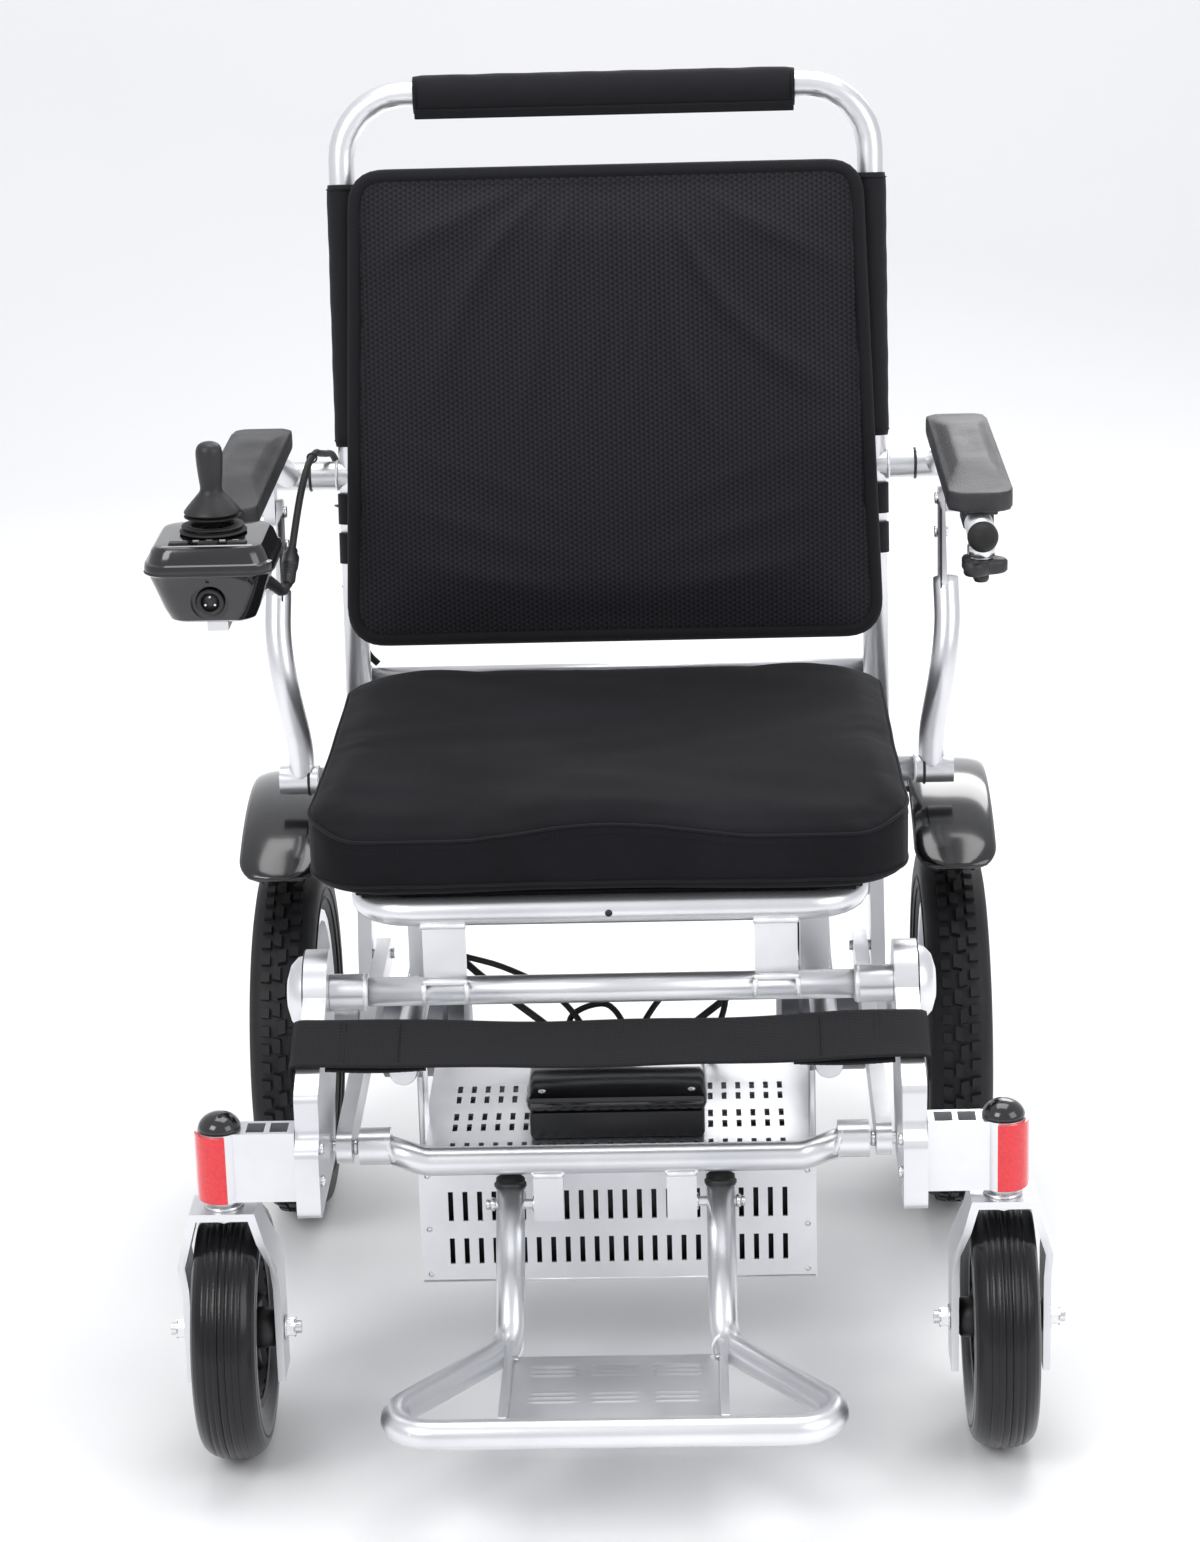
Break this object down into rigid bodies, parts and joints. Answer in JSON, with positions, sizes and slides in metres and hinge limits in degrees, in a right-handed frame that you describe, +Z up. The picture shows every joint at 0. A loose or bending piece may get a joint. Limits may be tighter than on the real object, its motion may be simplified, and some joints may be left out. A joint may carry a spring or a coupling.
{
  "type": "power wheelchair",
  "caption": "Folding power wheelchair with front casters, rear drive wheels, cushioned seat and back, armrests, joystick and folding footrest.",
  "frame": {"origin": "on the floor under the middle of the whole chair", "axes": "+X to the right seen from the front, +Y to the rear, +Z up"},
  "size_m": [0.685, 0.8246, 0.974],
  "materials": {
    "aluminium": "satin silver anodised tube and plate",
    "steel": "bright zinc",
    "motor_metal": "grey paint",
    "knit_fabric": "black smooth stretch knit",
    "mesh_fabric": "black open mesh",
    "nylon_fabric": "black woven nylon",
    "webbing": "black woven webbing",
    "gloss_plastic": "gloss black",
    "matte_plastic": "matte black",
    "pad_skin": "grained black polyurethane",
    "rubber": "matte black rubber",
    "tyre": "black tyre rubber",
    "caster_tyre": "smooth black polyurethane",
    "reflector": "red reflective plastic"
  },
  "bodies": {
    "rear_frame": {"rear_frame": "aluminium", "motor_left": "motor_metal", "motor_right": "motor_metal", "fender_left": "gloss_plastic", "fender_right": "gloss_plastic", "battery_tray": "aluminium", "battery_pack": "matte_plastic", "controller_box": "matte_plastic", "controller_lid": "gloss_plastic"},
    "rear_wheel_left": {"rear_tyre_left": "tyre", "rear_rim_left": "aluminium"},
    "rear_wheel_right": {"rear_tyre_right": "tyre", "rear_rim_right": "aluminium"},
    "link_left": {"fold_link_left": "aluminium"},
    "link_right": {"fold_link_right": "aluminium"},
    "seat": {"seat_frame": "aluminium", "seat_sling": "nylon_fabric", "seat_cushion": "knit_fabric"},
    "front_frame": {"side_plate_left": "aluminium", "side_plate_right": "aluminium", "caster_beam_left": "aluminium", "caster_beam_right": "aluminium", "beam_cap_left": "matte_plastic", "beam_cap_right": "matte_plastic", "reflector_left": "reflector", "reflector_right": "reflector", "calf_strap": "webbing", "front_crossbar": "aluminium"},
    "footrest": {"footrest_frame": "aluminium", "footplate": "aluminium", "footrest_bumper_left": "rubber", "footrest_bumper_right": "rubber"},
    "backrest": {"backrest_frame": "aluminium", "back_sling": "nylon_fabric", "back_cushion": "mesh_fabric", "handle_sleeve": "nylon_fabric", "back_lead": "rubber"},
    "arm_left": {"arm_frame_left": "aluminium", "arm_pad_left": "pad_skin", "joystick_housing": "gloss_plastic", "joystick_boot": "rubber", "joystick_lead": "rubber"},
    "arm_right": {"arm_frame_right": "aluminium", "arm_pad_right": "pad_skin"},
    "post_left": {"arm_post_left": "aluminium"},
    "post_right": {"arm_post_right": "aluminium"},
    "clamp_knob": {"clamp_knob": "matte_plastic"},
    "stick_gimbal": {"joystick_gimbal": "steel"},
    "stick": {"joystick_knob": "matte_plastic"},
    "power_button": {"power_button": "pad_skin"},
    "horn_button": {"horn_button": "pad_skin"},
    "speed_button": {"speed_button": "pad_skin"},
    "fork_left": {"caster_fork_left": "aluminium", "caster_axle_left": "steel"},
    "caster_left": {"caster_tyre_left": "caster_tyre", "caster_hub_left": "matte_plastic"},
    "fork_right": {"caster_fork_right": "aluminium", "caster_axle_right": "steel"},
    "caster_right": {"caster_tyre_right": "caster_tyre", "caster_hub_right": "matte_plastic"}
  },
  "joints": [
    {"name": "frame_fold", "type": "hinge", "parent": "rear_frame", "child": "seat", "pos_m": [0, 0.26023, 0.345], "axis": [-1, 0, 0], "range_deg": [0, 60]},
    {"name": "front_frame_fold", "type": "hinge", "parent": "seat", "child": "front_frame", "pos_m": [0, -0.14477, 0.336], "axis": [1, 0, 0], "range_deg": [0, 60]},
    {"name": "footrest_fold", "type": "hinge", "parent": "front_frame", "child": "footrest", "pos_m": [0, -0.18477, 0.1735], "axis": [-1, 0, 0], "range_deg": [0, 75]},
    {"name": "backrest_fold", "type": "hinge", "parent": "seat", "child": "backrest", "pos_m": [0, 0.31138, 0.405], "axis": [1, 0, 0], "range_deg": [0, 62], "deforming": ["seat_cushion"]},
    {"name": "link_left_fold", "type": "hinge", "parent": "rear_frame", "child": "link_left", "pos_m": [-0.2075, 0.22023, 0.233], "axis": [-1, 0, 0], "range_deg": [0, 60]},
    {"name": "arm_left_fold", "type": "hinge", "parent": "backrest", "child": "arm_left", "pos_m": [-0.2825, 0.34662, 0.632], "axis": [-1, 0, 0], "range_deg": [0, 62]},
    {"name": "post_left_fold", "type": "hinge", "parent": "seat", "child": "post_left", "pos_m": [-0.27, 0.19523, 0.401], "axis": [1, 0, 0], "range_deg": [0, 62]},
    {"name": "caster_swivel_left", "type": "hinge", "parent": "front_frame", "child": "fork_left", "pos_m": [-0.292, -0.26977, 0.245], "axis": [0, 0, 1], "continuous": true},
    {"name": "caster_roll_left", "type": "hinge", "parent": "fork_left", "child": "caster_left", "pos_m": [-0.292, -0.24277, 0.1], "axis": [1, 0, 0], "continuous": true},
    {"name": "rear_wheel_roll_left", "type": "hinge", "parent": "rear_frame", "child": "rear_wheel_left", "pos_m": [-0.2865, 0.22523, 0.159], "axis": [1, 0, 0], "continuous": true},
    {"name": "link_right_fold", "type": "hinge", "parent": "rear_frame", "child": "link_right", "pos_m": [0.2075, 0.22023, 0.233], "axis": [-1, 0, 0], "range_deg": [0, 60]},
    {"name": "arm_right_fold", "type": "hinge", "parent": "backrest", "child": "arm_right", "pos_m": [0.2825, 0.34662, 0.632], "axis": [-1, 0, 0], "range_deg": [0, 62]},
    {"name": "post_right_fold", "type": "hinge", "parent": "seat", "child": "post_right", "pos_m": [0.27, 0.19523, 0.401], "axis": [1, 0, 0], "range_deg": [0, 62]},
    {"name": "caster_swivel_right", "type": "hinge", "parent": "front_frame", "child": "fork_right", "pos_m": [0.292, -0.26977, 0.245], "axis": [0, 0, 1], "continuous": true},
    {"name": "caster_roll_right", "type": "hinge", "parent": "fork_right", "child": "caster_right", "pos_m": [0.292, -0.24277, 0.1], "axis": [1, 0, 0], "continuous": true},
    {"name": "rear_wheel_roll_right", "type": "hinge", "parent": "rear_frame", "child": "rear_wheel_right", "pos_m": [0.2865, 0.22523, 0.159], "axis": [1, 0, 0], "continuous": true},
    {"name": "clamp_knob_turn", "type": "hinge", "parent": "arm_right", "child": "clamp_knob", "pos_m": [0.292, -0.03677, 0.64], "axis": [0, 0, 1], "continuous": true},
    {"name": "stick_fore_aft", "type": "hinge", "parent": "arm_left", "child": "stick_gimbal", "pos_m": [-0.294, -0.08777, 0.665], "axis": [1, 0, 0], "range_deg": [-15, 15], "stiffness_Nm_per_rad": 0.15, "deforming": ["joystick_boot"]},
    {"name": "stick_left_right", "type": "hinge", "parent": "stick_gimbal", "child": "stick", "pos_m": [-0.294, -0.08777, 0.665], "axis": [0, 1, 0], "range_deg": [-15, 15], "stiffness_Nm_per_rad": 0.15, "deforming": ["joystick_boot"]},
    {"name": "power_button_press", "type": "slide", "parent": "arm_left", "child": "power_button", "axis": [0, 0, -1], "range_m": [0, 0.001], "stiffness_N_per_m": 400},
    {"name": "horn_button_press", "type": "slide", "parent": "arm_left", "child": "horn_button", "axis": [0, 0, -1], "range_m": [0, 0.001], "stiffness_N_per_m": 400},
    {"name": "speed_button_press", "type": "slide", "parent": "arm_left", "child": "speed_button", "axis": [0, 0, -1], "range_m": [0, 0.001], "stiffness_N_per_m": 400}
  ],
  "couplings": [
    {"joint": "front_frame_fold", "follows": "frame_fold", "ratio": 1},
    {"joint": "link_left_fold", "follows": "frame_fold", "ratio": 1},
    {"joint": "arm_left_fold", "follows": "backrest_fold", "ratio": 1},
    {"joint": "post_left_fold", "follows": "backrest_fold", "ratio": 1},
    {"joint": "link_right_fold", "follows": "frame_fold", "ratio": 1},
    {"joint": "arm_right_fold", "follows": "backrest_fold", "ratio": 1},
    {"joint": "post_right_fold", "follows": "backrest_fold", "ratio": 1}
  ]
}
